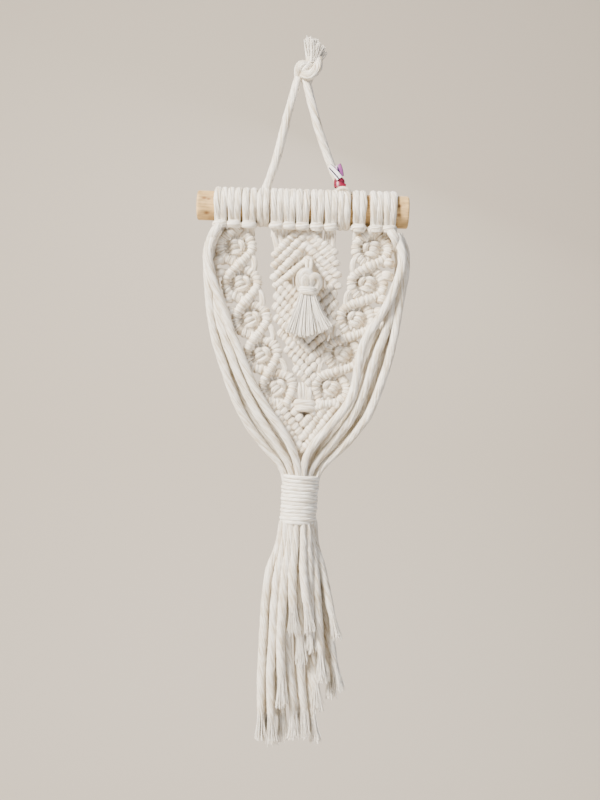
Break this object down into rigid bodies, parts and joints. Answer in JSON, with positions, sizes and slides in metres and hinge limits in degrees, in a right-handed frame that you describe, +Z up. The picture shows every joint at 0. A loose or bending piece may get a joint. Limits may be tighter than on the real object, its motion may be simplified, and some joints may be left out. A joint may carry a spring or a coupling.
{
  "type": "macrame wall hanging",
  "caption": "Macrame wall hanging: knotted cotton panels and loose swag cords on a peeled wooden dowel, with a cord hanger loop, a small tassel, a gathering wrap and a frayed fringe.",
  "frame": {"origin": "the hang point: the crotch of the hanger loop under its knot, where a nail or hook carries the part", "axes": "+Z up, +X to the right as seen from the room, +Y into the wall"},
  "size_m": [0.1083, 0.0245, 0.3534],
  "materials": {
    "peeled_wood": "peeled and sanded, bare",
    "cotton_cord": "soft single-strand cotton, matte",
    "cotton_twine": "thin cotton twine, matte",
    "printed_ribbon": null
  },
  "bodies": {
    "hanger": {"hanger_knot": "cotton_cord", "hanger_tuft": "cotton_cord", "hanger_left_leg": "cotton_cord", "hanger_right_leg": "cotton_cord", "hanger_left_hitch": "cotton_cord", "hanger_right_hitch": "cotton_cord", "ribbon_tie": "printed_ribbon"},
    "panel": {"dowel": "peeled_wood", "larks_heads_left": "cotton_cord", "larks_heads_centre": "cotton_cord", "larks_heads_right": "cotton_cord", "left_ring_1": "cotton_cord", "left_ring_2": "cotton_cord", "left_ring_3": "cotton_cord", "left_ring_4": "cotton_cord", "left_ring_5": "cotton_cord", "right_ring_1": "cotton_cord", "right_ring_2": "cotton_cord", "right_ring_3": "cotton_cord", "right_ring_4": "cotton_cord", "right_ring_5": "cotton_cord", "centre_panel_upper": "cotton_cord", "centre_panel_lower": "cotton_cord", "apex_knot": "cotton_cord", "left_swag_1": "cotton_cord", "left_swag_2": "cotton_cord", "left_swag_3": "cotton_cord", "left_swag_4": "cotton_cord", "left_swag_5": "cotton_cord", "right_swag_1": "cotton_cord", "right_swag_2": "cotton_cord", "right_swag_3": "cotton_cord", "right_swag_4": "cotton_cord", "right_swag_5": "cotton_cord"},
    "tassel_loop": {"tassel_loop": "cotton_cord"},
    "tassel": {"tassel_head": "cotton_cord", "tassel_binding": "cotton_twine", "tassel_skirt": "cotton_cord"},
    "bundle": {"gathering_wrap": "cotton_twine", "wrap_core": "cotton_cord"},
    "fringe": {"fringe_cord_01": "cotton_cord", "fringe_cord_02": "cotton_cord", "fringe_cord_03": "cotton_cord", "fringe_cord_04": "cotton_cord", "fringe_cord_05": "cotton_cord", "fringe_cord_06": "cotton_cord", "fringe_cord_07": "cotton_cord", "fringe_cord_08": "cotton_cord", "fringe_cord_09": "cotton_cord", "fringe_cord_10": "cotton_cord", "fringe_cord_11": "cotton_cord", "fringe_cord_12": "cotton_cord", "fringe_cord_13": "cotton_cord", "fringe_cord_14": "cotton_cord", "fringe_cord_15": "cotton_cord", "fringe_cord_16": "cotton_cord", "fringe_cord_17": "cotton_cord", "fringe_cord_18": "cotton_cord", "fringe_cord_19": "cotton_cord", "fringe_cord_20": "cotton_cord"}
  },
  "joints": [
    {"name": "panel_swing", "type": "hinge", "parent": "hanger", "child": "panel", "pos_m": [0, 0, -0.0659], "axis": [-1, 0, 0], "range_deg": [0, 75]},
    {"name": "tassel_sway", "type": "hinge", "parent": "panel", "child": "tassel_loop", "pos_m": [0.007, -0.0082, -0.0946], "axis": [0, 1, 0], "range_deg": [-20, 20]},
    {"name": "tassel_lift", "type": "hinge", "parent": "tassel_loop", "child": "tassel", "pos_m": [0.007, -0.0082, -0.0946], "axis": [-1, 0, 0], "range_deg": [0, 75]},
    {"name": "bundle_sway", "type": "hinge", "parent": "panel", "child": "bundle", "pos_m": [0.0063, 0, -0.197], "axis": [0, 1, 0], "range_deg": [-7, 7]},
    {"name": "fringe_swing", "type": "hinge", "parent": "bundle", "child": "fringe", "pos_m": [0.0063, 0, -0.2246], "axis": [-1, 0, 0], "range_deg": [0, 45]}
  ]
}
